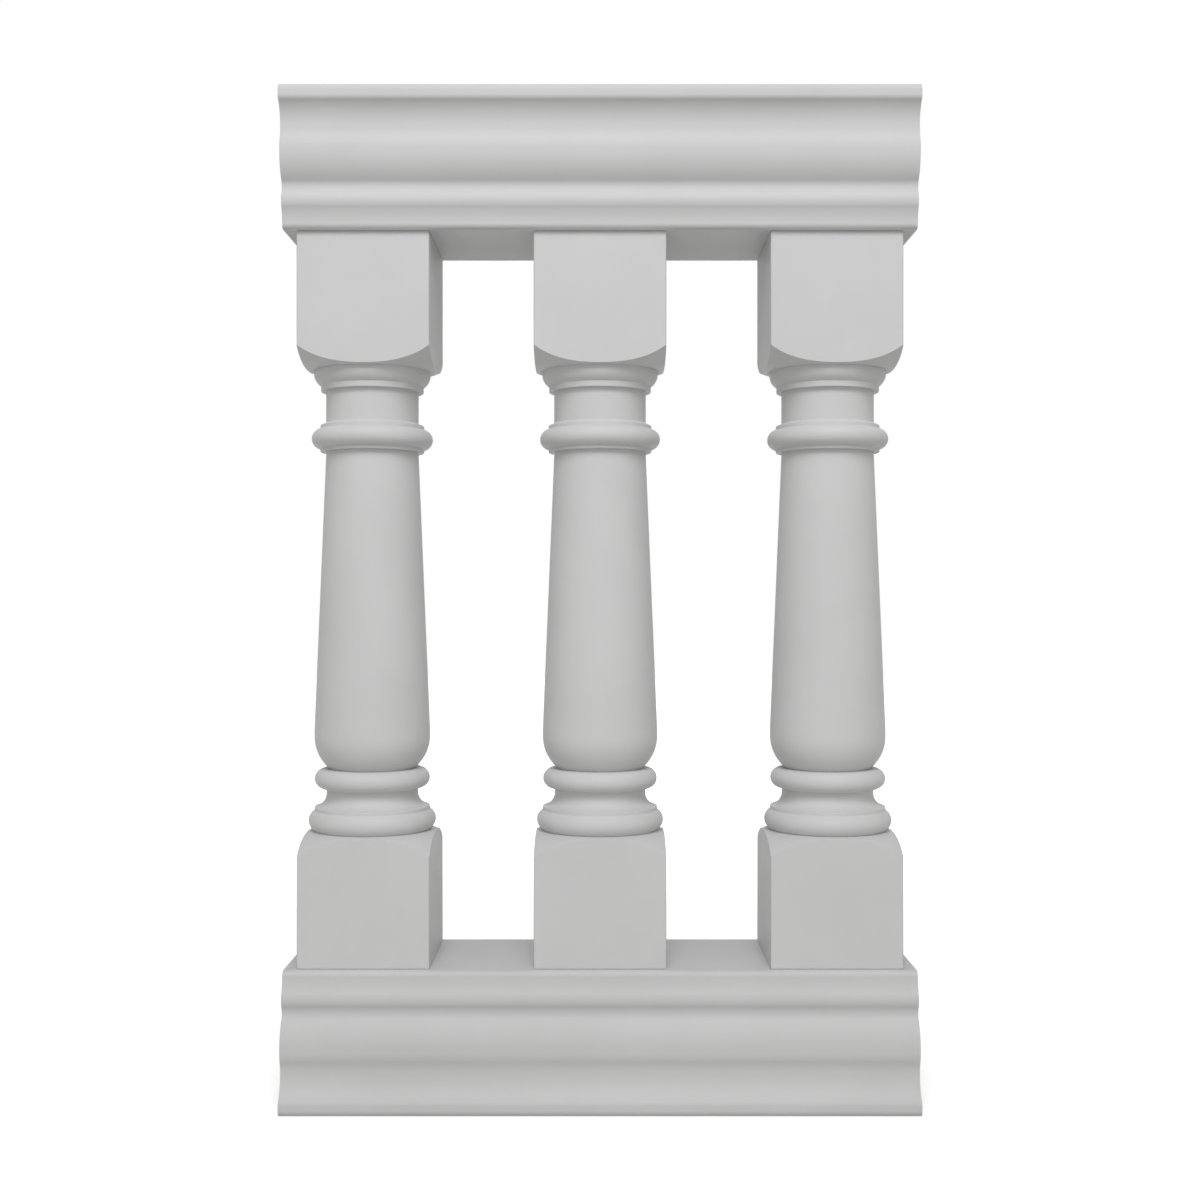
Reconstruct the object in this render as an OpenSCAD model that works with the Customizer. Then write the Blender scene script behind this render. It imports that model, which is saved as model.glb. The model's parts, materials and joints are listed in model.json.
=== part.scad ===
// Fiberglass balustrade, one bay: two moulded rails, three turned balusters
// on square blocks, and a steel tube up the middle of each baluster.
// Millimetres, Z up, the rails run along X and the front faces -Y.

/* [Layout] */
// Length of the two rails
rail_length = 609.6; // [540:0.1:900]
// Distance from one baluster's axis to the next
baluster_spacing = 228.6; // [150:0.1:235]

/* [Baluster] */
// Height of a baluster from block end to block end
baluster_height = 712; // [640:1:900]
// Side of the square blocks
block_side = 128; // [124:0.5:140]
// Bevel on the upright edges of the blocks
block_edge = 1; // [0.2:0.1:3]
// Length of a block's upright edge before the shoulder starts
block_edge_length = 110; // [80:0.5:125]
// Length of a block where the shoulder meets the turning
block_length = 129; // [120:0.5:150]
// Radius of the turned ring under the upper block
ring_radius = 58; // [54:0.1:61]
// Height of the straight band of that ring
ring_band = 0.8; // [0.4:0.1:4]
// Height of the quarter round under the band
quarter_round_height = 12.3; // [8:0.1:16]
// Radius of the fillets above the neck and on each side of the collar
fillet_radius = 51; // [48.5:0.1:53]
// Height of the fillet above the neck
neck_fillet_height = 5.4; // [3:0.1:9]
// Radius of the neck
neck_radius = 46; // [38:0.1:48]
// Height of the neck
neck_height = 35; // [20:0.5:50]
// Height of the thin fillet on each side of the collar
collar_fillet_height = 3.1; // [1.5:0.1:6]
// Height of the collar's roll
collar_height = 19; // [14:0.1:24]
// Radius at the collar's widest point
collar_radius = 60.1; // [56:0.1:63]
// Radius of the shaft at its top
shaft_top_radius = 45.9; // [38:0.1:48]
// Radius of the shaft at its foot
shaft_foot_radius = 57.5; // [50:0.1:62]
// Height of the straight band at the shaft's foot
foot_band_height = 5.7; // [2:0.1:12]
// Height of the rounded foot of the shaft
foot_round_height = 29.8; // [22:0.1:34]
// Radius at the bottom of the rounded foot
foot_neck_radius = 44.6; // [38:0.1:47]
// Height of the small neck above the lower roll
upper_groove_height = 2.8; // [1:0.1:6]
// Height of the lower roll
lower_roll_height = 19; // [14:0.1:24]
// Radius at the lower roll's widest point
lower_roll_radius = 57; // [54:0.1:60]
// Radius of the small neck under the lower roll
groove_radius = 45.3; // [38:0.1:47]
// Height of the small neck under the lower roll
groove_height = 4.4; // [2:0.1:8]
// Radius at the foot of the hollow curve, which is as high as it is deep
hollow_radius = 57.5; // [54:0.1:60]
// Height of the thin band under the hollow curve
hollow_band_height = 4.7; // [2:0.1:8]
// Height of the base roll
base_roll_height = 21.4; // [18:0.1:26]
// Radius at the base roll's widest point
base_roll_radius = 63.3; // [60.5:0.1:63.5]
// Part of the base roll's height that sinks in the lower block's shoulder
base_roll_sink = 3.6; // [2.5:0.1:8]

/* [Rails] */
// Height of a rail
rail_height = 133.4; // [129:0.1:170]
// Depth of a rail from front to back over its nosing
rail_depth = 184.2; // [176:0.2:220]
// Rounding of the nosing's outer edge
nosing_round = 6.4; // [2:0.1:9]
// Distance from the nosing face to the end of its upright front
nosing_front = 9.5; // [9.2:0.1:12]
// Distance from the nosing face to the crease under the nosing
nosing_height = 15.5; // [13.5:0.1:19]
// Set-in of that crease
nosing_crease_in = 2.9; // [1:0.1:3.8]
// Set-in of the wide hollow where it is deepest
rail_hollow_in = 11.2; // [8.5:0.1:15]
// Distance from the nosing face to the hollow's deepest line
rail_hollow_drop = 36.4; // [30:0.1:42]
// Height of the hollow's deepest, upright part
rail_hollow_upright = 2.9; // [0.5:0.1:8]
// Set-in of the wide swell where it is fullest
swell_in = 7.4; // [5:0.1:8.2]
// Distance from the nosing face to the swell's fullest part
swell_drop = 56.3; // [51:0.1:62]
// Height of the swell's fullest, upright part
swell_upright = 8.6; // [0.5:0.1:12]
// Set-in of the line where the swell ends
swell_end_in = 16.4; // [13:0.1:17.8]
// Distance from the nosing face to the line where the swell ends
swell_end_drop = 86.1; // [80:0.1:90]
// Set-in of the small groove where it is deepest
rail_groove_in = 18.8; // [17.4:0.1:21]
// Distance from the nosing face to the small groove's deepest line
rail_groove_drop = 93.3; // [90.5:0.1:98]
// Set-in of the bead where it is fullest
bead_in = 15.2; // [13.5:0.1:16.5]
// Distance from the nosing face to the bead's fullest line
bead_drop = 106.8; // [101:0.1:110]
// Set-in of the line where the bead ends
bead_end_in = 17; // [16.8:0.1:18.5]
// Distance from the nosing face to the line where the bead ends
bead_end_drop = 113.8; // [111.5:0.1:117]
// Set-in of the lower band at its edge
lower_band_in = 20.6; // [19:0.1:25]
// Hollowing of the lower band
lower_band_sag = 0.3; // [0.1:0.05:1]
// Rounding of the edge between the lower band and the seat face
seat_edge = 5.4; // [1:0.1:7]
// Thickness of a rail's shell
rail_wall = 6; // [4:0.5:12]

/* [Tubes and sockets] */
// Outside diameter of a steel tube
tube_diameter = 38.1; // [30:0.1:48]
// Wall of a steel tube
tube_wall = 3.1; // [1.5:0.1:6]
// Length of tube that stands out past each end of a baluster
tube_engagement = 44; // [30:0.5:60]
// Gap all round a tube in its baluster
bore_clearance = 0.3; // [0.1:0.05:1]
// Gap all round a tube in a rail's socket
socket_clearance = 0.5; // [0.1:0.05:1.5]
// Gap above a tube's upper end in its socket
socket_end_gap = 2; // [0.5:0.5:8]
// Wall round a socket
socket_wall = 5; // [3:0.5:10]
// Thickness of a socket's closed end
socket_floor = 6; // [3:0.5:10]

/* [Colours] */
// Moulded fiberglass
fiberglass_colour = "#D3D4D3";
// Galvanised steel
steel_colour = "#9FA3A6";

/* [Hidden] */
$fn = 96;
// Corners on each arc of a rail's moulding
arc_steps = 8;
// How far a cutting solid runs past the face that it cuts
past = 1;

bottom_seat = rail_height;
top_seat = rail_height + baluster_height;
tube_radius = tube_diameter / 2;
tube_length = baluster_height + 2 * tube_engagement;
bore_radius = tube_radius + bore_clearance;
socket_radius = tube_radius + socket_clearance;

// Heights in a baluster, from its lower end
base_roll_z = block_length - base_roll_sink + base_roll_height / 2;
base_roll_top = base_roll_z + base_roll_height / 2;
hollow_foot = base_roll_top + hollow_band_height;
hollow_top = hollow_foot + hollow_radius - groove_radius;
lower_roll_z = hollow_top + groove_height + lower_roll_height / 2;
foot_round_z = lower_roll_z + lower_roll_height / 2 + upper_groove_height;
foot_band_z = foot_round_z + foot_round_height;
shaft_z = foot_band_z + foot_band_height;
ring_z = baluster_height - block_length;
quarter_round_top = ring_z - ring_band;
quarter_round_foot = quarter_round_top - quarter_round_height;
neck_top = quarter_round_foot - neck_fillet_height;
neck_foot = neck_top - neck_height;
collar_top = neck_foot - collar_fillet_height;
collar_z = collar_top - collar_height / 2;
collar_foot = collar_top - collar_height;
shaft_top = collar_foot - collar_fillet_height;

// The shoulder of a block is part of a ball centred on the baluster's axis:
// it passes the foot of the upright edges and the rim of the turned ring.
corner_radius = block_side / sqrt(2) - block_edge / sqrt(2);
shoulder_rise = block_length - block_edge_length;
shoulder_centre = (corner_radius * corner_radius - ring_radius * ring_radius
    + shoulder_rise * shoulder_rise) / (2 * shoulder_rise);
shoulder_radius = sqrt(ring_radius * ring_radius
    + shoulder_centre * shoulder_centre);

// Radius of the quarter round, which ends on the fillet above the neck
quarter_out = ring_radius - fillet_radius;
quarter_radius = (quarter_out * quarter_out
    + quarter_round_height * quarter_round_height) / (2 * quarter_out);

// Radius of the shaft's rounded foot, upright where it meets the band
foot_in = shaft_foot_radius - foot_neck_radius;
foot_radius = (foot_in * foot_in
    + foot_round_height * foot_round_height) / (2 * foot_in);

// Points on an arc that is upright at v and passes p
function arc_from(v, p, n) =
    let (e = p[0] - v[0], l = p[1] - v[1],
        r = (e * e + l * l) / (2 * abs(e)), s = sign(e), t = asin(l / r))
    [for (i = [0 : n]) [v[0] + s * r * (1 - cos(t * i / n)),
        v[1] + r * sin(t * i / n)]];
// The same arc, run from p to v
function arc_to(p, v, n) = let (a = arc_from(v, p, n)) [for (i = [n : -1 : 0]) a[i]];
// Two equal arcs from v to w, upright at both
function wave(v, w, n) =
    let (m = [(v[0] + w[0]) / 2, (v[1] + w[1]) / 2])
    concat(arc_from(v, m, n), arc_to(m, w, n));
// Points on a shallow arc from a to b that sinks by s at its middle
function sag_arc(a, b, s, n) =
    [for (i = [0 : n]) let (t = i / n)
        [a[0] + (b[0] - a[0]) * t - 4 * s * t * (1 - t), a[1] + (b[1] - a[1]) * t]];
// A list of points without those that repeat the point before
function no_repeats(p) =
    [for (i = [0 : len(p) - 1]) if (i == 0 || norm(p[i] - p[i - 1]) > 0.01) p[i]];

// One side of the moulding as [distance from the centre plane, distance from
// the nosing face], with the whole side moved in by "inset"
function moulding(inset) =
    let (h = rail_depth / 2 - inset,
        crease = [h - nosing_crease_in, nosing_height],
        hollow = [h - rail_hollow_in, rail_hollow_drop],
        hollow_end = [hollow[0], hollow[1] + rail_hollow_upright],
        swell = [h - swell_in, swell_drop],
        swell_low = [swell[0], swell[1] + swell_upright],
        swell_end = [h - swell_end_in, swell_end_drop],
        groove = [h - rail_groove_in, rail_groove_drop],
        bead = [h - bead_in, bead_drop],
        bead_end = [h - bead_end_in, bead_end_drop],
        edge = [h - lower_band_in, rail_height - seat_edge])
    no_repeats(concat(
        [for (i = [0 : arc_steps]) let (t = 90 * i / arc_steps)
            [h - nosing_round * (1 - sin(t)), nosing_round * (1 - cos(t))]],
        arc_from([h, nosing_front], crease, arc_steps / 2),
        arc_to(crease, hollow, arc_steps),
        wave(hollow_end, swell, arc_steps / 2),
        arc_from(swell_low, swell_end, arc_steps),
        arc_to(swell_end, groove, arc_steps / 2),
        wave(groove, bead, arc_steps / 2),
        arc_from(bead, bead_end, arc_steps / 2),
        sag_arc(bead_end, edge, lower_band_sag, arc_steps / 2),
        [for (i = [0 : arc_steps]) let (t = 90 * i / arc_steps)
            [edge[0] - seat_edge * (1 - cos(t)), edge[1] + seat_edge * sin(t)]]));

// Node to draw

// A rail's outline, nosing face on the X axis
module rail_outline(inset) {
    side = moulding(inset);
    last = len(side) - 1;
    polygon(concat(side, [for (i = [last : -1 : 0]) [-side[i][0], side[i][1]]]));
}

module rail_section() {
    difference() {
        rail_outline(0);
        intersection() {
            rail_outline(rail_wall);
            translate([-rail_depth, rail_wall])
                square([2 * rail_depth, rail_height - 2 * rail_wall]);
        }
    }
}

// A rail, nosing face down on z = 0, with its sockets open at the seat face
module rail(socket_depth) {
    difference() {
        union() {
            rotate([90, 0, 90])
                translate([0, 0, -rail_length / 2])
                    linear_extrude(height = rail_length) rail_section();
            for (i = [-1 : 1])
                translate([i * baluster_spacing, 0,
                        rail_height - socket_depth - socket_floor])
                    cylinder(r = socket_radius + socket_wall,
                        h = socket_depth + socket_floor - rail_wall / 2);
        }
        for (i = [-1 : 1])
            translate([i * baluster_spacing, 0, rail_height - socket_depth])
                cylinder(r = socket_radius, h = socket_depth + past);
    }
}

// A block from z = 0 up, its shoulder at the top
module block() {
    s = block_side / 2;
    e = block_edge;
    intersection() {
        linear_extrude(height = block_length)
            polygon([[s - e, -s], [s, -s + e], [s, s - e], [s - e, s],
                [-s + e, s], [-s, s - e], [-s, -s + e], [-s + e, -s]]);
        translate([0, 0, block_length - shoulder_centre])
            sphere(r = shoulder_radius);
    }
}

// Half of the turning's outline, from the axis out
module turning_outline() {
    // Core of the base roll and its band, with the hollow curve cut in
    difference() {
        translate([0, block_length / 2])
            square([hollow_radius, hollow_top - block_length / 2]);
        translate([hollow_radius, hollow_top])
            circle(r = hollow_radius - groove_radius);
    }
    // Base roll
    translate([base_roll_radius - base_roll_height / 2, base_roll_z])
        circle(d = base_roll_height);
    // Small neck, lower roll and the neck above it
    translate([0, hollow_top - past])
        square([groove_radius, lower_roll_z - hollow_top + past]);
    translate([lower_roll_radius - lower_roll_height / 2, lower_roll_z])
        circle(d = lower_roll_height);
    translate([0, lower_roll_z - past])
        square([foot_neck_radius, foot_round_z - lower_roll_z + 2 * past]);
    // Rounded foot
    intersection() {
        translate([shaft_foot_radius - foot_radius, foot_band_z])
            circle(r = foot_radius);
        translate([0, foot_round_z])
            square([shaft_foot_radius + past, foot_round_height]);
    }
    // Straight band and shaft
    polygon([[0, foot_band_z], [shaft_foot_radius, foot_band_z],
        [shaft_foot_radius, shaft_z], [shaft_top_radius, shaft_top],
        [shaft_top_radius, shaft_top + past], [0, shaft_top + past]]);
    // Collar and its fillets
    translate([0, shaft_top])
        square([fillet_radius, neck_foot - shaft_top]);
    translate([collar_radius - collar_height / 2, collar_z])
        circle(d = collar_height);
    // Neck and its fillet
    translate([0, neck_foot - past])
        square([neck_radius, neck_height + 2 * past]);
    translate([0, neck_top])
        square([fillet_radius, neck_fillet_height + past]);
    // Quarter round on its core, and ring
    translate([0, quarter_round_foot - past])
        square([ring_radius - quarter_radius, quarter_round_height + 2 * past]);
    intersection() {
        translate([ring_radius - quarter_radius, quarter_round_top])
            circle(r = quarter_radius);
        translate([0, quarter_round_foot])
            square([ring_radius + past, quarter_round_height]);
    }
    translate([0, quarter_round_top])
        square([ring_radius, ring_band + block_length / 2]);
}

module baluster() {
    difference() {
        union() {
            block();
            rotate_extrude() turning_outline();
            translate([0, 0, baluster_height]) mirror([0, 0, 1]) block();
        }
        translate([0, 0, -past])
            cylinder(r = bore_radius, h = baluster_height + 2 * past);
    }
}

module tube() {
    difference() {
        cylinder(r = tube_radius, h = tube_length);
        translate([0, 0, -past])
            cylinder(r = tube_radius - tube_wall, h = tube_length + 2 * past);
    }
}

module place_baluster(i) {
    translate([i * baluster_spacing, 0, bottom_seat]) children();
}

module place_tube(i) {
    translate([i * baluster_spacing, 0, bottom_seat - tube_engagement]) children();
}

module bottom_rail() {
    color(fiberglass_colour) rail(tube_engagement);
}

module tube_left() {
    color(steel_colour) place_tube(-1) tube();
}

module tube_centre() {
    color(steel_colour) place_tube(0) tube();
}

module tube_right() {
    color(steel_colour) place_tube(1) tube();
}

module baluster_left() {
    color(fiberglass_colour) place_baluster(-1) baluster();
}

module baluster_centre() {
    color(fiberglass_colour) place_baluster(0) baluster();
}

module baluster_right() {
    color(fiberglass_colour) place_baluster(1) baluster();
}

module top_rail() {
    color(fiberglass_colour)
        translate([0, 0, top_seat + rail_height])
            mirror([0, 0, 1]) rail(tube_engagement + socket_end_gap);
}

bottom_rail();
tube_left();
tube_centre();
tube_right();
baluster_left();
baluster_centre();
baluster_right();
top_rail();
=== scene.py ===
# %% [markdown]
# # A fiberglass balustrade section
#
# The real object is a garden or terrace balustrade made of glass-fibre
# mouldings. Two hollow rails carry the same moulding front and back. Between
# them stand three turned balusters on square blocks. A galvanised steel tube
# runs up each baluster and ends in a socket in each rail.
#
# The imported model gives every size. The turnings, blocks and mouldings are
# drawn again here with finer curves and softened edges, and every surface
# gets the finish of the real thing.

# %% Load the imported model
import json
import math

import bmesh
import bpy
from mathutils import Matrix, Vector

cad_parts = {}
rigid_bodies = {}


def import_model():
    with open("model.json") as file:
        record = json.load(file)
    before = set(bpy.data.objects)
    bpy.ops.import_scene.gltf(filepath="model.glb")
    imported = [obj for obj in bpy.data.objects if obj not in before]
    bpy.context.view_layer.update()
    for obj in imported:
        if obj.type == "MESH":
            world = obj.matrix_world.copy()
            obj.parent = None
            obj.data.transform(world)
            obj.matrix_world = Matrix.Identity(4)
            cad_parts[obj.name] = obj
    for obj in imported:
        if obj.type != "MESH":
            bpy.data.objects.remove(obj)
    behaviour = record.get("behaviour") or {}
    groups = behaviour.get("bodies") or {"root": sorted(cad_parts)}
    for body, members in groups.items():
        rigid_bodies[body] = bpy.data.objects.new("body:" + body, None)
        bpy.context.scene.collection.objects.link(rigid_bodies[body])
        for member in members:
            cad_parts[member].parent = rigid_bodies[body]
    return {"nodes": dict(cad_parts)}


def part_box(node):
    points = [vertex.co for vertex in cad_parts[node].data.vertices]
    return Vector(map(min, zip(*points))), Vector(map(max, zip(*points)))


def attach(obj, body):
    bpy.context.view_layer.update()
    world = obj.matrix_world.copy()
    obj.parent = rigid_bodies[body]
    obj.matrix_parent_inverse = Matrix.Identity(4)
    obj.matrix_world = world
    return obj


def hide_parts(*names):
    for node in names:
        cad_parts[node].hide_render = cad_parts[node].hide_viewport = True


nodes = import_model()["nodes"]
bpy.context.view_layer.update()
print("nodes:", ", ".join(sorted(nodes)))

# %% [markdown]
# ## Sizes
#
# A maker reads the drawing in millimetres, so the sizes are written that way
# and one factor turns them into metres. Where each piece stands is taken from
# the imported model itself. Points closer than a few thousandths of a millimetre
# count as one.

# %% Where the pieces stand
MM = 0.001
SAME_POINT = 0.005 * MM
SAME_LEVEL = 0.001 * MM

seat_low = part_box("baluster_centre")[0].z
seat_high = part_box("baluster_centre")[1].z
section_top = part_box("top_rail")[1].z
rail_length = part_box("top_rail")[1].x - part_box("top_rail")[0].x
rail_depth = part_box("top_rail")[1].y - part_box("top_rail")[0].y
rail_height = section_top - seat_high
baluster_height = seat_high - seat_low
baluster_places = {
    name: (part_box(name)[0].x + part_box(name)[1].x) / 2
    for name in ("baluster_left", "baluster_centre", "baluster_right")
}
print(f"rails {rail_length:.4f} x {rail_depth:.4f} x {rail_height:.4f} m")
print(f"balusters {baluster_height:.4f} m high at", baluster_places)

# %% [markdown]
# ## Camera
#
# The view is straight from the front, level with the middle of the section,
# so that the upper rail shows its underside and the lower rail its seat.

# %% Set the camera
CAMERA_DISTANCE = 1.5347
LENS_MM = 45.79
SENSOR_MM = 36

camera_data = bpy.data.cameras.new("camera")
camera_data.lens = LENS_MM
camera_data.sensor_width = SENSOR_MM
camera = bpy.data.objects.new("camera", camera_data)
camera.location = (0, -CAMERA_DISTANCE, section_top / 2)
camera.rotation_euler = (math.radians(90), 0, 0)
bpy.context.scene.collection.objects.link(camera)
bpy.context.scene.camera = camera
print("camera at", tuple(round(c, 4) for c in camera.location))

# %% [markdown]
# ## Finishes
#
# Three materials show on the real thing. The outside is smooth gelcoat, a
# pale grey resin skin that copies the polish of its mould. The inside and the
# sawn ends of the rails are bare laminate, where the chopped glass strands
# show in the resin. The tubes are galvanised steel with frosty zinc crystals.
#
# Cloudiness and fine grain turn up in more than one of them, so each is made
# once as a node group and placed in every finish with values of its own.
# Patterns follow the shape of the piece, through its own object coordinates.

# %% Helpers for finishes
def new_group(name, inputs, outputs):
    """An empty shader node group with named sockets."""
    group = bpy.data.node_groups.new(name, "ShaderNodeTree")
    for label, kind, value in inputs:
        socket = group.interface.new_socket(label, in_out="INPUT", socket_type=kind)
        if value is not None:
            socket.default_value = value
    for label, kind in outputs:
        group.interface.new_socket(label, in_out="OUTPUT", socket_type=kind)
    start = group.nodes.new("NodeGroupInput")
    end = group.nodes.new("NodeGroupOutput")
    return group, start, end


def add_node(tree, kind, links=None, **settings):
    """Adds a node, sets its options and sockets, and wires its inputs."""
    node = tree.nodes.new(kind)
    for name, value in settings.items():
        setattr(node, name, value)
    for socket, value in (links or {}).items():
        if isinstance(value, bpy.types.NodeSocket):
            tree.links.new(value, node.inputs[socket])
        else:
            node.inputs[socket].default_value = value
    return node


def new_finish(name, **principled):
    """A material with its Principled shader and its object coordinates."""
    material = bpy.data.materials.new(name)
    material.use_nodes = True
    tree = material.node_tree
    shader = tree.nodes["Principled BSDF"]
    for socket, value in principled.items():
        shader.inputs[socket.replace("_", " ")].default_value = value
    place = tree.nodes.new("ShaderNodeTexCoord").outputs["Object"]
    return material, tree, shader, place


def mix_tones(tree, mask, first, second):
    """Mixes two colours. Their sockets go by number, as names are shared."""
    sockets = {0: mask, 6: first, 7: second}
    return add_node(tree, "ShaderNodeMix", sockets, data_type="RGBA").outputs[2]


FLOAT, COLOUR, VECTOR = "NodeSocketFloat", "NodeSocketColor", "NodeSocketVector"
print("finish helpers are ready")

# %% Cloudiness, as a group
cloud, start, end = new_group(
    "soft_cloud",
    [
        ("Place", VECTOR, None),
        ("Clouds per metre", FLOAT, 10.0),
        ("Dark tone", COLOUR, (0.5, 0.5, 0.5, 1)),
        ("Light tone", COLOUR, (0.6, 0.6, 0.6, 1)),
    ],
    [("Tone", COLOUR), ("Mask", FLOAT)],
)
noise = add_node(
    cloud,
    "ShaderNodeTexNoise",
    {
        "Vector": start.outputs["Place"],
        "Scale": start.outputs["Clouds per metre"],
        "Detail": 3.0,
        "Roughness": 0.55,
    },
)
spread = add_node(
    cloud,
    "ShaderNodeMapRange",
    {"Value": noise.outputs["Fac"], "From Min": 0.32, "From Max": 0.68},
    interpolation_type="SMOOTHSTEP",
)
tone = mix_tones(
    cloud,
    spread.outputs["Result"],
    start.outputs["Dark tone"],
    start.outputs["Light tone"],
)
cloud.links.new(tone, end.inputs["Tone"])
cloud.links.new(spread.outputs["Result"], end.inputs["Mask"])
print("group:", cloud.name)

# %% Fine grain, as a group
grain, start, end = new_group(
    "fine_grain",
    [
        ("Place", VECTOR, None),
        ("Grains per metre", FLOAT, 300.0),
        ("Low", FLOAT, 0.0),
        ("High", FLOAT, 1.0),
    ],
    [("Height", FLOAT), ("Level", FLOAT)],
)
noise = add_node(
    grain,
    "ShaderNodeTexNoise",
    {
        "Vector": start.outputs["Place"],
        "Scale": start.outputs["Grains per metre"],
        "Detail": 2.0,
        "Roughness": 0.5,
    },
)
level = add_node(
    grain,
    "ShaderNodeMapRange",
    {
        "Value": noise.outputs["Fac"],
        "From Min": 0.3,
        "From Max": 0.7,
        "To Min": start.outputs["Low"],
        "To Max": start.outputs["High"],
    },
)
grain.links.new(noise.outputs["Fac"], end.inputs["Height"])
grain.links.new(level.outputs["Result"], end.inputs["Level"])
print("group:", grain.name)

# %% [markdown]
# ### Gelcoat
#
# Gelcoat is sprayed into the mould before the glass, so it is even in colour
# and copies the mould's satin polish. It is never quite flat: its tone clouds
# by a hair over a hand's width, and a faint orange peel breaks up its sheen.


# %% Make the gelcoat
def gelcoat(name, dark, light, clouds):
    """A gelcoat between two tones, with so many clouds to the metre."""
    material, tree, shader, place = new_finish(name, IOR=1.46)
    shader.inputs["Specular IOR Level"].default_value = 0.2
    tint = add_node(
        tree,
        "ShaderNodeGroup",
        {
            "Place": place,
            "Clouds per metre": clouds,
            "Dark tone": (*dark, 1),
            "Light tone": (*light, 1),
        },
        node_tree=cloud,
    )
    peel = add_node(
        tree,
        "ShaderNodeGroup",
        {"Place": place, "Grains per metre": 240, "Low": 0.46, "High": 0.60},
        node_tree=grain,
    )
    bump = add_node(
        tree,
        "ShaderNodeBump",
        {"Height": peel.outputs["Height"], "Strength": 0.12, "Distance": 0.0002},
    )
    tree.links.new(tint.outputs["Tone"], shader.inputs["Base Color"])
    tree.links.new(peel.outputs["Level"], shader.inputs["Roughness"])
    tree.links.new(bump.outputs["Normal"], shader.inputs["Normal"])
    return material


rail_gelcoat = gelcoat(
    "rail_gelcoat", (0.600, 0.598, 0.600), (0.622, 0.620, 0.622), 7
)
baluster_gelcoat = gelcoat(
    "baluster_gelcoat", (0.634, 0.632, 0.634), (0.656, 0.654, 0.656), 11
)
print("made", rail_gelcoat.name, "and", baluster_gelcoat.name)

# %% [markdown]
# ### Bare laminate
#
# Behind the gelcoat lies chopped strand mat: glass strands a few centimetres
# long, dropped at random and wetted out with resin. Three sets of long thin
# streaks, laid across each other, give that look on any face of the shell.

# %% Make the laminate
laminate, tree, shader, place = new_finish("bare_laminate", IOR=1.5)
STRAND_TONE = (0.62, 0.62, 0.57, 1)
STRAND_LAYS = ((0.0, 0.5, 0.4), (0.9, -0.5, 1.3), (-0.6, 0.9, 2.2))
tint = add_node(
    tree,
    "ShaderNodeGroup",
    {
        "Place": place,
        "Clouds per metre": 22,
        "Dark tone": (0.40, 0.40, 0.33, 1),
        "Light tone": (0.52, 0.51, 0.44, 1),
    },
    node_tree=cloud,
)
tone = tint.outputs["Tone"]
strand_height = None
for lay in STRAND_LAYS:
    turned = add_node(
        tree,
        "ShaderNodeMapping",
        {"Vector": place, "Rotation": lay, "Scale": (24.0, 520.0, 520.0)},
    )
    streak = add_node(
        tree,
        "ShaderNodeTexNoise",
        {"Vector": turned.outputs["Vector"], "Scale": 1.0, "Detail": 1.0},
    )
    strand = add_node(
        tree,
        "ShaderNodeMapRange",
        {"Value": streak.outputs["Fac"], "From Min": 0.56, "From Max": 0.64},
        interpolation_type="SMOOTHSTEP",
    )
    tone = mix_tones(tree, strand.outputs["Result"], tone, STRAND_TONE)
    if strand_height is None:
        strand_height = strand.outputs["Result"]
    else:
        highest = add_node(
            tree,
            "ShaderNodeMath",
            {0: strand_height, 1: strand.outputs["Result"]},
            operation="MAXIMUM",
        )
        strand_height = highest.outputs["Value"]
resin = add_node(
    tree,
    "ShaderNodeGroup",
    {"Place": place, "Grains per metre": 420, "Low": 0.5, "High": 0.75},
    node_tree=grain,
)
bump = add_node(
    tree,
    "ShaderNodeBump",
    {"Height": strand_height, "Strength": 0.35, "Distance": 0.0004},
)
tree.links.new(tone, shader.inputs["Base Color"])
tree.links.new(resin.outputs["Level"], shader.inputs["Roughness"])
tree.links.new(bump.outputs["Normal"], shader.inputs["Normal"])
print("made", laminate.name, "with", len(STRAND_LAYS), "lays of strands")

# %% [markdown]
# ### Galvanised steel
#
# Molten zinc freezes on the tube in flat crystals a few millimetres across.
# A Voronoi pattern gives the crystals, each with its own grey and its own
# gloss, and the shared cloudiness adds the dull bloom of age.

# %% Make the zinc
CRYSTAL_TONE = (0.38, 0.377, 0.368, 1)
zinc, tree, shader, place = new_finish("galvanised_steel", Metallic=0.5)
crystals = add_node(
    tree, "ShaderNodeTexVoronoi", {"Vector": place, "Scale": 240.0}
)
apart = add_node(
    tree, "ShaderNodeSeparateColor", {"Color": crystals.outputs["Color"]}
)
crystal_tone = add_node(
    tree,
    "ShaderNodeMapRange",
    {"Value": apart.outputs["Red"], "To Min": 0.25, "To Max": 0.75},
)
bloom = add_node(
    tree,
    "ShaderNodeGroup",
    {
        "Place": place,
        "Clouds per metre": 130,
        "Dark tone": (0.28, 0.277, 0.27, 1),
        "Light tone": (0.44, 0.436, 0.426, 1),
    },
    node_tree=cloud,
)
tone = mix_tones(
    tree, crystal_tone.outputs["Result"], bloom.outputs["Tone"], CRYSTAL_TONE
)
gloss = add_node(
    tree,
    "ShaderNodeMapRange",
    {"Value": apart.outputs["Green"], "To Min": 0.42, "To Max": 0.6},
)
tree.links.new(tone, shader.inputs["Base Color"])
tree.links.new(gloss.outputs["Result"], shader.inputs["Roughness"])
print("made", zinc.name)

# %% [markdown]
# ## Drawing an outline
#
# A turner works from a template of half the outline, and a rail moulder from
# a template of half the section. Both are drawn the same way here, on a board
# where X is the distance out and Z the height. The line starts as one point.
# Straight runs are extruded from it, and rounds and hollows are spun about
# their own centres, so every curve is a true arc. Corners that a maker would
# ease are noted as the line passes them and rounded at the end.

# %% Helpers for drawing
corners_to_ease = []


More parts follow.
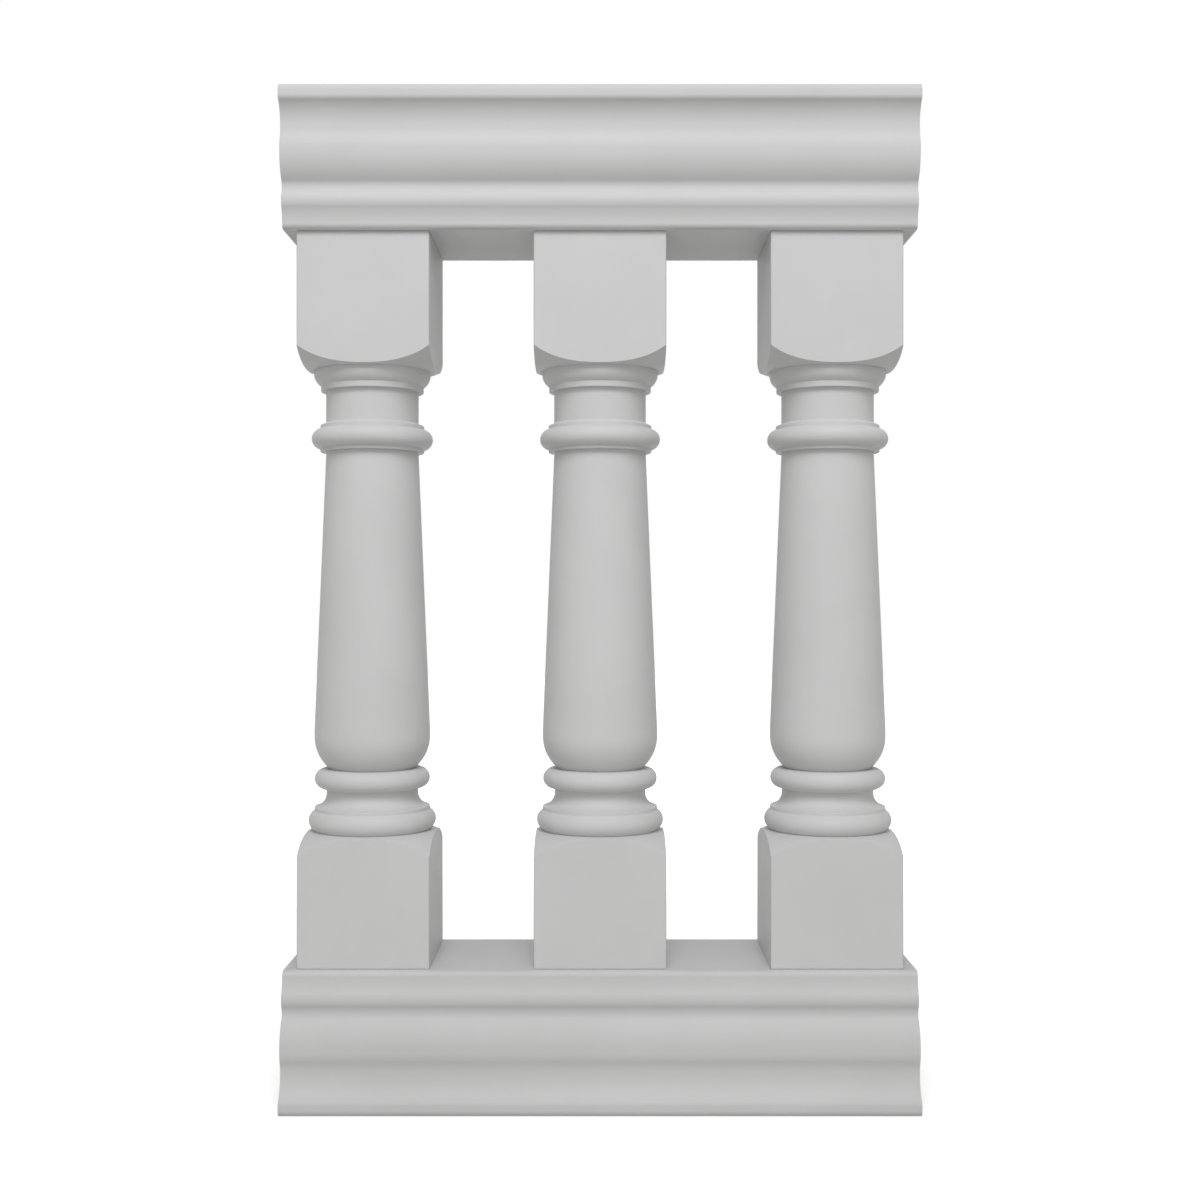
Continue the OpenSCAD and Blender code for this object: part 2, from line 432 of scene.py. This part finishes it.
def clear_selection():
    """Leaves edit mode and deselects every object."""
    if bpy.context.object and bpy.context.object.mode != "OBJECT":
        bpy.ops.object.mode_set(mode="OBJECT")
    bpy.ops.object.select_all(action="DESELECT")


def work_on(piece):
    """Makes one piece the only selected one."""
    clear_selection()
    piece.select_set(True)
    bpy.context.view_layer.objects.active = piece


def edit(piece):
    """Opens a piece in edit mode with nothing selected."""
    work_on(piece)
    bpy.ops.object.mode_set(mode="EDIT")
    bpy.ops.mesh.select_all(action="DESELECT")


def mesh_in_hand():
    """The mesh that is open in edit mode."""
    return bmesh.from_edit_mesh(bpy.context.object.data)


def pen():
    """Where the end of the line is."""
    return next(v.co.copy() for v in mesh_in_hand().verts if v.select)


def start_line(name, x, z):
    """Begins an outline as a single point on the board."""
    clear_selection()
    corners_to_ease.clear()
    bpy.ops.mesh.primitive_plane_add(size=1 * MM)
    piece = bpy.context.object
    piece.name = piece.data.name = name
    bpy.ops.object.mode_set(mode="EDIT")
    bpy.ops.mesh.select_all(action="SELECT")
    bpy.ops.mesh.merge(type="CENTER")
    bpy.ops.transform.translate(value=(x, 0, z))
    return piece


def line_to(x, z, ease=False):
    """Extrudes the line straight to a point, which may be an eased corner."""
    here = pen()
    bpy.ops.mesh.extrude_region_move(
        TRANSFORM_OT_translate={"value": (x - here.x, 0, z - here.z)}
    )
    if ease:
        corners_to_ease.append(pen())


def round_to(x, z, centre, steps, hollow=False, ease=False):
    """Spins the line about a centre to a point. A hollow turns inwards."""
    here = pen()
    start = math.atan2(here.z - centre[1], here.x - centre[0])
    end = math.atan2(z - centre[1], x - centre[0])
    turn = (end - start) % math.tau
    if hollow:
        turn -= math.tau
    bpy.ops.mesh.spin(
        steps=steps,
        angle=turn,
        center=(centre[0], 0, centre[1]),
        axis=(0, 1, 0),
    )
    if ease:
        corners_to_ease.append(pen())


def ease_corners(radius):
    """Rounds the corners that were noted while drawing."""
    bpy.ops.mesh.select_all(action="SELECT")
    bpy.ops.mesh.remove_doubles(threshold=SAME_POINT)
    bpy.ops.mesh.select_all(action="DESELECT")
    bpy.ops.mesh.select_mode(type="VERT")
    hand = mesh_in_hand()
    for vertex in hand.verts:
        vertex.select = any(
            (vertex.co - corner).length < 4 * SAME_POINT
            for corner in corners_to_ease
        )
    hand.select_flush_mode()
    eased = sum(v.select for v in hand.verts)
    bpy.ops.mesh.bevel(offset=radius, segments=4, affect="VERTICES")
    return eased


print("drawing helpers are ready")

# %% [markdown]
# ## Baluster template
#
# The template runs from the bore out along the underside, over the lower
# block, up the turning and back down the bore. The blocks are drawn first as
# a round blank, wider than their corners, because a square is sawn out of
# the blank afterwards. The shoulder of a block is turned to a true arc. It
# starts nearly level beside the moulding and falls away ever more steeply
# towards the corners, so the saw leaves its rim as a curve on each flat face.
#
# Sizes are in millimetres. A round is given as the distance of its centre from
# the axis, the centre's height above the seat, and its radius. A corner is
# given as its distance from the axis and its height.

# %% Sizes of the turning
# The bore, the square blocks and the round blank they are sawn from
BORE = 19.35
BLOCK_HALF = 64
BLOCK_LENGTH = 129
BLANK = 95
# The shoulders, where each is tucked under its roll or left flat
LOWER_SHOULDER = (46, 68.4, 59.5)
UPPER_SHOULDER = (46, 642, 59.5)
SHOULDER_TUCK = 57.8
SHOULDER_FLAT = 61
# The base, from its roll up to the foot of the shaft
BASE_ROLL = (52.3, 136.4, 11.1)
HOLLOW_LIP = 57.5
HOLLOW = (59, 163, 13.3)
LOWER_ROLL = (47.4, 177.8, 9.9)
FOOT = (16.5, 219.3, 41)
# The shaft, and the collar with its fillets
SHAFT_FOOT = (57.5, 225.4)
SHAFT_TOP = (45.9, 503.8)
COLLAR_FILLET = 51.6
COLLAR = (50.2, 516.9, 10)
COLLAR_WASH = (530.3, 533)
# The neck, its fillet, the quarter round and the ring above it
NECK = 46
NECK_FILLET = (51, 564.1)
QUARTER_ROUND = (43.7, 582.2, 14.3)
RING = 58
# The rounding of the small corners
CORNER_EASE = 0.7

height_mm = baluster_height / MM
print(f"turning between blocks: {height_mm - 2 * BLOCK_LENGTH:.0f} mm")


# %% Where curves meet
def height_on(circle, out, upper):
    """Height at which a circle is at a given distance from the axis."""
    rise = math.sqrt(circle[2] ** 2 - (out - circle[0]) ** 2)
    return circle[1] + (rise if upper else -rise)


def out_on(circle, height):
    """Distance from the axis of a circle's outer side at a given height."""
    return circle[0] + math.sqrt(circle[2] ** 2 - (height - circle[1]) ** 2)


roll_top = LOWER_ROLL[1] + LOWER_ROLL[2]
necklet = HOLLOW[0] - HOLLOW[2]
print(f"the foot is {out_on(FOOT, roll_top):.1f} mm out where it meets its roll")


# %% Draw the baluster's outline
def line_mm(x, z, ease=False):
    """Draws a straight run to a point in millimetres."""
    line_to(x * MM, z * MM, ease)


def round_mm(x, z, circle, steps, hollow=False, ease=False):
    """Draws a round to a point in millimetres, in a number of short steps."""
    centre = (circle[0] * MM, circle[1] * MM)
    round_to(x * MM, z * MM, centre, steps, hollow, ease)


def draw_baluster():
    """Draws the whole template, bottom to top and back down the bore."""
    piece = start_line("baluster", BORE * MM, 0)
    line_mm(BLANK, 0)
    line_mm(BLANK, height_on(LOWER_SHOULDER, BLANK, True))
    tuck = height_on(LOWER_SHOULDER, SHOULDER_TUCK, True)
    round_mm(SHOULDER_TUCK, tuck, LOWER_SHOULDER, 22)
    line_mm(SHOULDER_TUCK, height_on(BASE_ROLL, SHOULDER_TUCK, False))
    under_lip = height_on(BASE_ROLL, HOLLOW_LIP, True)
    round_mm(HOLLOW_LIP, under_lip, BASE_ROLL, 28, ease=True)
    line_mm(HOLLOW_LIP, height_on(HOLLOW, HOLLOW_LIP, False), ease=True)
    round_mm(necklet, HOLLOW[1], HOLLOW, 14, hollow=True)
    line_mm(necklet, height_on(LOWER_ROLL, necklet, False))
    round_mm(LOWER_ROLL[0], roll_top, LOWER_ROLL, 30)
    line_mm(out_on(FOOT, roll_top), roll_top)
    round_mm(SHAFT_FOOT[0], FOOT[1], FOOT, 16)
    line_mm(*SHAFT_FOOT)
    line_mm(*SHAFT_TOP)
    line_mm(COLLAR_FILLET, SHAFT_TOP[1], ease=True)
    line_mm(COLLAR_FILLET, height_on(COLLAR, COLLAR_FILLET, False))
    round_mm(COLLAR_FILLET, height_on(COLLAR, COLLAR_FILLET, True), COLLAR, 28)
    line_mm(COLLAR_FILLET, COLLAR_WASH[0], ease=True)
    line_mm(NECK, COLLAR_WASH[1])
    line_mm(NECK, NECK_FILLET[1])
    line_mm(*NECK_FILLET, ease=True)
    line_mm(NECK_FILLET[0], height_on(QUARTER_ROUND, NECK_FILLET[0], False))
    round_mm(RING, QUARTER_ROUND[1], QUARTER_ROUND, 12)
    flat = height_on(UPPER_SHOULDER, SHOULDER_FLAT, False)
    line_mm(RING, flat)
    line_mm(SHOULDER_FLAT, flat)
    round_mm(BLANK, height_on(UPPER_SHOULDER, BLANK, False), UPPER_SHOULDER, 22)
    line_mm(BLANK, height_mm)
    line_mm(BORE, height_mm)
    line_mm(BORE, 0)
    return piece


baluster = draw_baluster()
eased = ease_corners(CORNER_EASE * MM)
print(f"outline of {len(mesh_in_hand().verts)} points, {eased} corners eased")

# %% [markdown]
# ## Turn the baluster and saw its blocks
#
# Spinning the outline once round the axis gives the whole turning, still
# with round blanks at its ends. Each flat is then one straight saw cut. The
# same cut, taken a little further out and at an angle, eases the upright
# edges and the rims of the block ends, as a sanding block would. Each
# quarter turn takes one flat and three narrow cuts, which round the edge.

# %% Spin the outline
TURNING_STEPS = 144
bpy.ops.mesh.select_all(action="SELECT")
bpy.ops.mesh.spin(steps=TURNING_STEPS, angle=math.tau, axis=(0, 0, 1))
bpy.ops.mesh.select_all(action="SELECT")
bpy.ops.mesh.remove_doubles(threshold=SAME_POINT)
bpy.ops.mesh.normals_make_consistent(inside=False)
print("faces on the turned blank:", len(mesh_in_hand().faces))


# %% Saw the blocks square
def saw(normal, distance):
    """Cuts off what lies beyond a flat plane and closes the cut."""
    normal = Vector(normal).normalized()
    bpy.ops.mesh.select_all(action="SELECT")
    bpy.ops.mesh.bisect(
        plane_co=normal * distance,
        plane_no=normal,
        use_fill=True,
        clear_outer=True,
        threshold=SAME_LEVEL,
    )


EDGE_ROUND = 1.7
RIM_EASE = 0.8
CUTS = 4
QUARTER_TURN = math.pi / 2
for quarter in range(4):
    for cut in range(CUTS):
        turn = QUARTER_TURN * (quarter + cut / CUTS)
        reach = math.cos(turn % QUARTER_TURN) + math.sin(turn % QUARTER_TURN)
        distance = (BLOCK_HALF - EDGE_ROUND) * reach + EDGE_ROUND
        saw((math.cos(turn), math.sin(turn), 0), distance * MM)
print("faces after the flats and edges:", len(mesh_in_hand().faces))

# %% Ease the rims of the block ends
for quarter in range(4):
    turn = QUARTER_TURN * quarter
    out_x, out_y = math.cos(turn), math.sin(turn)
    rim = (BLOCK_HALF - RIM_EASE) * MM / math.sqrt(2)
    saw((out_x, out_y, -1), rim)
    saw((out_x, out_y, 1), rim + baluster_height / math.sqrt(2))
bpy.ops.mesh.select_all(action="SELECT")
bpy.ops.mesh.normals_make_consistent(inside=False)
volume = mesh_in_hand().calc_volume()
open_edges = sum(not e.is_manifold for e in mesh_in_hand().edges)
print(f"one baluster: {volume * 1000:.3f} litres, {open_edges} open edges")

# %% [markdown]
# ## Smooth the turning and set up three of them
#
# Curves should look round and flats should look flat. Smoothing by angle
# keeps the arrises, and weighted normals let the large flats and the long
# shaft decide the shading next to a narrow rounding. The three balusters
# are alike, so the finished one is copied, each copy with its own mesh.


# %% Smooth a finished shape
SHARP_ANGLE = math.radians(30)


def smooth(piece):
    """Smooths what curves and keeps sharp what turns by more than an angle."""
    work_on(piece)
    bpy.ops.object.shade_smooth_by_angle(angle=SHARP_ANGLE)
    piece.modifiers.new("weighted", "WEIGHTED_NORMAL").keep_sharp = True
    bpy.ops.object.modifier_apply(modifier="weighted")


def copy_of(piece, name):
    """A copy of a piece with a mesh of its own."""
    work_on(piece)
    bpy.ops.object.duplicate(linked=False)
    twin = bpy.context.object
    twin.name = twin.data.name = name
    return twin


def move_shape(piece, shift):
    """Moves the shape inside its object, which stays at the origin."""
    edit(piece)
    bpy.ops.mesh.select_all(action="SELECT")
    bpy.ops.transform.translate(value=shift)
    clear_selection()


smooth(baluster)
balusters = {}
for place in baluster_places:
    twin = copy_of(baluster, place.replace("baluster", "turned_baluster"))
    move_shape(twin, (baluster_places[place], 0, seat_low))
    balusters[place] = twin
bpy.data.objects.remove(baluster)
for place, piece in balusters.items():
    print(piece.name, "has", len(piece.data.polygons), "faces")

# %% [markdown]
# ## Rail template
#
# A rail shows the same moulding front and back. From the nosing it runs in
# a wide hollow, a long swell, a small groove, a bead and a plain band down to
# the seat. Half the section is drawn with the nosing on the ground line. Each
# curve stands upright where it is deepest or fullest, so one helper finds the
# centre of any of them from its two ends.
#
# Sizes are in millimetres. A point of the moulding is given as how far it lies
# in from the front and how high above the nosing's edge. Where a curve has a
# short upright flat, its two heights follow the first number.

# %% Sizes of the moulding
HALF = rail_depth / MM / 2
HEIGHT = rail_height / MM
NOSING_ROUND = 6.4
NOSING_FRONT = 10.8
CREASE = (2.9, 15.9)
WIDE_HOLLOW = (11.2, 36.4, 39.3)
SWELL = (7.3, 58.8, 62.2)
SWELL_END = (17.3, 88.4)
GROOVE = (18.8, 93.3)
BEAD = (15.2, 106.8)
BEAD_END = (17.4, 114.2)
BAND_IN = 20.6
BAND_SAG = 0.7
SEAT_EDGE = 5.4
WALL = 6
print(f"half section {HALF:.1f} x {HEIGHT:.1f} mm, wall {WALL} mm")


# %% Helpers for the moulding
def sweep_to(x, z, upright, steps):
    """Draws an arc that stands upright at its start or at its end."""
    here = pen() / MM
    ends = [(here.x, here.z), (x, z)]
    still, other = ends if upright == "start" else ends[::-1]
    out, up = other[0] - still[0], other[1] - still[1]
    radius = (out**2 + up**2) / (2 * abs(out))
    centre = (still[0] + math.copysign(radius, out), still[1])
    round_mm(x, z, centre, steps, hollow=out > 0)


def wave_to(x, z, steps):
    """Draws a hollow that turns into a swell halfway."""
    here = pen() / MM
    sweep_to((here.x + x) / 2, (here.z + z) / 2, "start", steps)
    sweep_to(x, z, "end", steps)


def bow_to(x, z, sag, steps):
    """Draws a line that is hollowed a little at its middle."""
    here = pen() / MM
    chord = Vector((x - here.x, z - here.z))
    radius = chord.length**2 / (8 * sag) + sag / 2
    middle = Vector((here.x + x, here.z + z)) / 2
    side = Vector((chord.y, -chord.x)).normalized()
    round_mm(x, z, middle + side * (radius - sag), steps, hollow=True)


def pick(test):
    """Selects the points that pass a test and counts them."""
    bpy.ops.mesh.select_all(action="DESELECT")
    hand = mesh_in_hand()
    for vertex in hand.verts:
        vertex.select = test(vertex.co)
    hand.select_flush(True)
    return sum(v.select for v in hand.verts)


# %% Draw half the section
rail = start_line("rail", 0, 0)
line_mm(HALF - NOSING_ROUND, 0)
round_mm(HALF, NOSING_ROUND, (HALF - NOSING_ROUND, NOSING_ROUND), 10)
line_mm(HALF, NOSING_FRONT)
sweep_to(HALF - CREASE[0], CREASE[1], "start", 6)
sweep_to(HALF - WIDE_HOLLOW[0], WIDE_HOLLOW[1], "end", 14)
line_mm(HALF - WIDE_HOLLOW[0], WIDE_HOLLOW[2])
wave_to(HALF - SWELL[0], SWELL[1], 8)
line_mm(HALF - SWELL[0], SWELL[2])
sweep_to(HALF - SWELL_END[0], SWELL_END[1], "start", 12)
sweep_to(HALF - GROOVE[0], GROOVE[1], "end", 6)
wave_to(HALF - BEAD[0], BEAD[1], 8)
sweep_to(HALF - BEAD_END[0], BEAD_END[1], "start", 8)
bow_to(HALF - BAND_IN, HEIGHT - SEAT_EDGE, BAND_SAG, 6)
seat_corner = (HALF - BAND_IN - SEAT_EDGE, HEIGHT - SEAT_EDGE)
round_mm(seat_corner[0], HEIGHT, seat_corner, 10)
line_mm(0, HEIGHT)
print("points on the outside of the section:", len(mesh_in_hand().verts))

# %% [markdown]
# ## Make the rail a hollow shell
#
# The real rail is laid up in a mould, so its wall is one even skin. The
# inside line is a copy of the outside line moved in by the wall and cut level
# with the two flats. Both lines are then pulled out to the rail's length,
# mirrored, and closed at the ends, which stay open in the middle like a
# sawn-off moulding.

# %% Draw the inside line
bpy.ops.mesh.select_all(action="SELECT")
bpy.ops.mesh.duplicate_move(TRANSFORM_OT_translate={"value": (-WALL * MM, 0, 0)})
for level, side in ((WALL, -1), (HEIGHT - WALL, 1)):
    bpy.ops.mesh.select_linked()
    bpy.ops.mesh.bisect(
        plane_co=(0, 0, level * MM),
        plane_no=(0, 0, side),
        clear_outer=True,
        threshold=SAME_LEVEL,
    )
for level in (WALL, HEIGHT - WALL):
    pick(lambda co: abs(co.z - level * MM) < SAME_LEVEL)
    line_mm(0, level)
print("points on both lines:", len(mesh_in_hand().verts))

# %% Pull both lines out to the rail's length
bpy.ops.mesh.select_all(action="SELECT")
bpy.ops.transform.translate(value=(0, -rail_length / 2, 0))
bpy.ops.mesh.extrude_region_move(
    TRANSFORM_OT_translate={"value": (0, rail_length, 0)}
)
OUTSIDE, INSIDE = 0, 1
pick(lambda co: co.x < SAME_LEVEL and abs(co.z - WALL * MM) < SAME_LEVEL)
bpy.ops.mesh.select_linked()
for face in mesh_in_hand().faces:
    face.material_index = INSIDE if face.select else OUTSIDE
clear_selection()
print("faces before mirroring:", len(rail.data.polygons))

# %% Mirror the half and close the ends
mirror = rail.modifiers.new("other half", "MIRROR")
mirror.use_axis = (True, False, False)
mirror.merge_threshold = SAME_POINT
work_on(rail)
bpy.ops.object.modifier_apply(modifier=mirror.name)
edit(rail)
for end in (-1, 1):
    pick(lambda co: abs(co.y - end * rail_length / 2) < SAME_LEVEL)
    bpy.ops.mesh.fill()
    for face in mesh_in_hand().faces:
        if face.select:
            face.material_index = INSIDE
bpy.ops.mesh.select_all(action="SELECT")
bpy.ops.mesh.normals_make_consistent(inside=False)
open_edges = sum(not e.is_manifold for e in mesh_in_hand().edges)
print(f"shell: {mesh_in_hand().calc_volume() * 1000:.3f} litres,", open_edges)

# %% [markdown]
# ## Sockets and the two rails
#
# Both rails come from the same mould, so the shell is copied for the upper
# one. The tube ends sit in closed cups that hang inside each rail. A cup is a
# plug joined to the shell and then bored out from the seat, a little deeper
# in the upper rail, where the tube needs room above its end. Last, the upper
# rail is turned over, and both are turned to run from left to right.

# %% Sizes of the sockets
SOCKET_BORE = 19.55
SOCKET_WALL = 5
SOCKET_FLOOR = 6
SOCKET_DEPTH = {"bottom_rail": 44, "top_rail": 46}
PLUG_SIDES = 96
PAST_THE_SEAT = 5


# %% Helpers for the sockets
def finish_with(piece, *materials):
    """Gives a piece its materials, in the order of its face numbers."""
    piece.data.materials.clear()
    for material in materials:
        piece.data.materials.append(material)


def row_of_plugs(radius, low, high):
    """Three round plugs in one mesh, one under each baluster."""
    clear_selection()
    row = []
    for place in baluster_places.values():
        bpy.ops.mesh.primitive_cylinder_add(
            vertices=PLUG_SIDES,
            radius=radius * MM,
            depth=(high - low) * MM,
            location=(0, place, (high + low) / 2 * MM),
        )
        row.append(bpy.context.object)
    for plug in row:
        plug.select_set(True)
    bpy.ops.object.join()
    plugs = bpy.context.object
    bpy.ops.object.transform_apply(location=True)
    finish_with(plugs, rail_gelcoat, laminate)
    for face in plugs.data.polygons:
        face.material_index = INSIDE
    return plugs


def combine(piece, other, operation):
    """Joins or cuts with another solid, which is used up."""
    join = piece.modifiers.new("combine", "BOOLEAN")
    join.operation = operation
    join.solver = "EXACT"
    join.object = other
    work_on(piece)
    bpy.ops.object.modifier_apply(modifier=join.name)
    bpy.data.objects.remove(other)


# %% Add the sockets to both rails
clear_selection()
finish_with(rail, rail_gelcoat, laminate)
rails = {"bottom_rail": rail, "top_rail": copy_of(rail, "moulded_top_rail")}
rail.name = rail.data.name = "moulded_bottom_rail"
for name, piece in rails.items():
    depth = SOCKET_DEPTH[name]
    cup = row_of_plugs(
        SOCKET_BORE + SOCKET_WALL, HEIGHT - depth - SOCKET_FLOOR, HEIGHT - WALL / 2
    )
    combine(piece, cup, "UNION")
    bore = row_of_plugs(SOCKET_BORE, HEIGHT - depth, HEIGHT + PAST_THE_SEAT)
    combine(piece, bore, "DIFFERENCE")
    print(piece.name, "has", len(piece.data.polygons), "faces")


# %% Turn the rails into place
def turn_shape(axis, angle):
    """Turns the open shape about the origin."""
    bpy.ops.mesh.select_all(action="SELECT")
    bpy.ops.transform.rotate(
        value=angle, orient_axis=axis, center_override=(0, 0, 0)
    )


for name, piece in rails.items():
    edit(piece)
    turn_shape("Z", math.pi / 2)
    if name == "top_rail":
        turn_shape("X", math.pi)
        bpy.ops.transform.translate(value=(0, 0, section_top))
    bpy.ops.mesh.select_all(action="SELECT")
    bpy.ops.mesh.normals_make_consistent(inside=False)
    hand = mesh_in_hand()
    open_edges = sum(not e.is_manifold for e in hand.edges)
    print(f"{piece.name}: {hand.calc_volume() * 1000:.3f} litres, {open_edges} open")
    smooth(piece)

# %% [markdown]
# ## Fit everything together
#
# Each finished piece stands for its solid in the imported model and rides with
# the whole section, which has no moving parts. The steel tubes keep their
# imported shape, which is right as it is, and only get their zinc.

# %% Put each piece in place of its imported solid
for place, piece in balusters.items():
    finish_with(piece, baluster_gelcoat)
    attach(piece, "root")
    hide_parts(place)
    finish_with(nodes[place], baluster_gelcoat)
for name, piece in rails.items():
    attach(piece, "root")
    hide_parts(name)
    finish_with(nodes[name], rail_gelcoat)
for name in ("tube_left", "tube_centre", "tube_right"):
    finish_with(nodes[name], zinc)
print("pieces in place:", [p.name for p in (*balusters.values(), *rails.values())])

# %% [markdown]
# ## Floor, world and light
#
# The section stands on a plain pale floor in a white room. To the camera and
# in reflections the room is pure white. The light it throws on the section
# is softer: a little stronger from the front than from behind, and dimmer
# towards the ceiling. A round lamp high in front then models the turnings.
# A weak second lamp, low behind, keeps the back from going dull, and is left
# out of reflections. The floor adds a little glow of its own for the camera,
# which leaves only the section's soft shadow on it.

# %% Rays that see the white room
def sees_white(tree):
    """A mask for camera, glossy and transmission rays."""
    path = tree.nodes.new("ShaderNodeLightPath")
    mask = path.outputs["Is Camera Ray"]
    for ray in ("Is Glossy Ray", "Is Transmission Ray"):
        either = add_node(
            tree,
            "ShaderNodeMath",
            {0: mask, 1: path.outputs[ray]},
            operation="MAXIMUM",
        )
        mask = either.outputs["Value"]
    return mask


def unlike_rays(tree, others, white_rays):
    """One shader for the rays that see white and one for all the others."""
    choice = tree.nodes.new("ShaderNodeMixShader")
    tree.links.new(sees_white(tree), choice.inputs[0])
    tree.links.new(others, choice.inputs[1])
    tree.links.new(white_rays, choice.inputs[2])
    return choice.outputs[0]


# %% Light the room
ROOM_LIGHT = (1.0, 0.985, 0.96, 1)
ROOM_LEVEL = 0.5
ROOM_TILT = (0.0, -0.27, 0.0)
CEILING_DIM = -0.3

world = bpy.data.worlds.new("white_room")
bpy.context.scene.world = world
world.use_nodes = True
tree = world.node_tree
tree.nodes.clear()
output = tree.nodes.new("ShaderNodeOutputWorld")
sky = tree.nodes.new("ShaderNodeTexCoord")
tilt = add_node(tree, "ShaderNodeVectorMath", operation="DOT_PRODUCT")
tree.links.new(sky.outputs["Generated"], tilt.inputs[0])
tilt.inputs[1].default_value = ROOM_TILT
height = add_node(
    tree, "ShaderNodeSeparateXYZ", {"Vector": sky.outputs["Generated"]}
)
square = add_node(
    tree,
    "ShaderNodeMath",
    {0: height.outputs["Z"], 1: height.outputs["Z"]},
    operation="MULTIPLY",
)
slope = add_node(
    tree,
    "ShaderNodeMath",
    {0: square.outputs["Value"], 1: CEILING_DIM, 2: tilt.outputs["Value"]},
    operation="MULTIPLY_ADD",
)
level = add_node(
    tree,
    "ShaderNodeMath",
    {0: slope.outputs["Value"], 1: ROOM_LEVEL},
    operation="ADD",
    use_clamp=True,
)
glow = add_node(tree, "ShaderNodeBackground", {"Color": ROOM_LIGHT})
tree.links.new(level.outputs["Value"], glow.inputs["Strength"])
white = add_node(
    tree, "ShaderNodeBackground", {"Color": (1, 1, 1, 1), "Strength": 1.0}
)
room = unlike_rays(tree, glow.outputs[0], white.outputs[0])
tree.links.new(room, output.inputs["Surface"])
print("room light level:", ROOM_LEVEL, "tilted by", ROOM_TILT)

# %% Lay the floor
FLOOR_HALF = 8
bpy.ops.mesh.primitive_plane_add(size=2 * FLOOR_HALF)
floor = bpy.context.object
floor.name = floor.data.name = "floor"
pale, tree, shader, place = new_finish("pale_floor")
tree.nodes.remove(shader)
tint = add_node(
    tree,
    "ShaderNodeGroup",
    {
        "Place": place,
        "Clouds per metre": 1.5,
        "Dark tone": (0.88, 0.88, 0.875, 1),
        "Light tone": (0.90, 0.90, 0.90, 1),
    },
    node_tree=cloud,
)
seen = tree.nodes.new("ShaderNodeBsdfDiffuse")
tree.links.new(tint.outputs["Tone"], seen.inputs["Color"])
unseen = add_node(tree, "ShaderNodeBsdfDiffuse", {"Color": (0.66, 0.66, 0.655, 1)})
reach = add_node(tree, "ShaderNodeVectorMath", {0: place}, operation="LENGTH")
lift_level = add_node(
    tree,
    "ShaderNodeMapRange",
    {
        "Value": reach.outputs["Value"],
        "From Min": 0.3,
        "From Max": 1.6,
        "To Min": 0.5,
        "To Max": 0.9,
    },
    interpolation_type="SMOOTHSTEP",
)
lift = add_node(
    tree, "ShaderNodeEmission", {"Strength": lift_level.outputs["Result"]}
)
lifted = tree.nodes.new("ShaderNodeAddShader")
tree.links.new(seen.outputs[0], lifted.inputs[0])
tree.links.new(lift.outputs[0], lifted.inputs[1])
surface = unlike_rays(tree, unseen.outputs[0], lifted.outputs[0])
tree.links.new(surface, tree.nodes["Material Output"].inputs["Surface"])
finish_with(floor, pale)
print("floor laid,", 2 * FLOOR_HALF, "m across")

# %% Hang the two lamps
LAMP_AIM = Vector((0, 0, 0.5))


def hang_lamp(name, place, size, power, colour):
    """A round soft lamp that looks at the middle of the section."""
    data = bpy.data.lights.new(name, "AREA")
    data.shape = "DISK"
    data.size = size
    data.energy = power
    data.color = colour
    lamp = bpy.data.objects.new(name, data)
    lamp.location = place
    lamp.rotation_euler = (LAMP_AIM - lamp.location).to_track_quat("-Z", "Y").to_euler()
    bpy.context.scene.collection.objects.link(lamp)
    print(f"{name}: {power} W, {size} m across, at {place}")
    return lamp


hang_lamp(
    "front_lamp", place=(0, -2.2, 2.7), size=1.4, power=46, colour=(0.965, 0.985, 1.0)
)
back_lamp = hang_lamp(
    "back_lamp", place=(0, 2.9, 0.75), size=1.0, power=19, colour=(0.98, 0.99, 1.0)
)
back_lamp.visible_glossy = False
bpy.context.scene.view_settings.view_transform = "Standard"
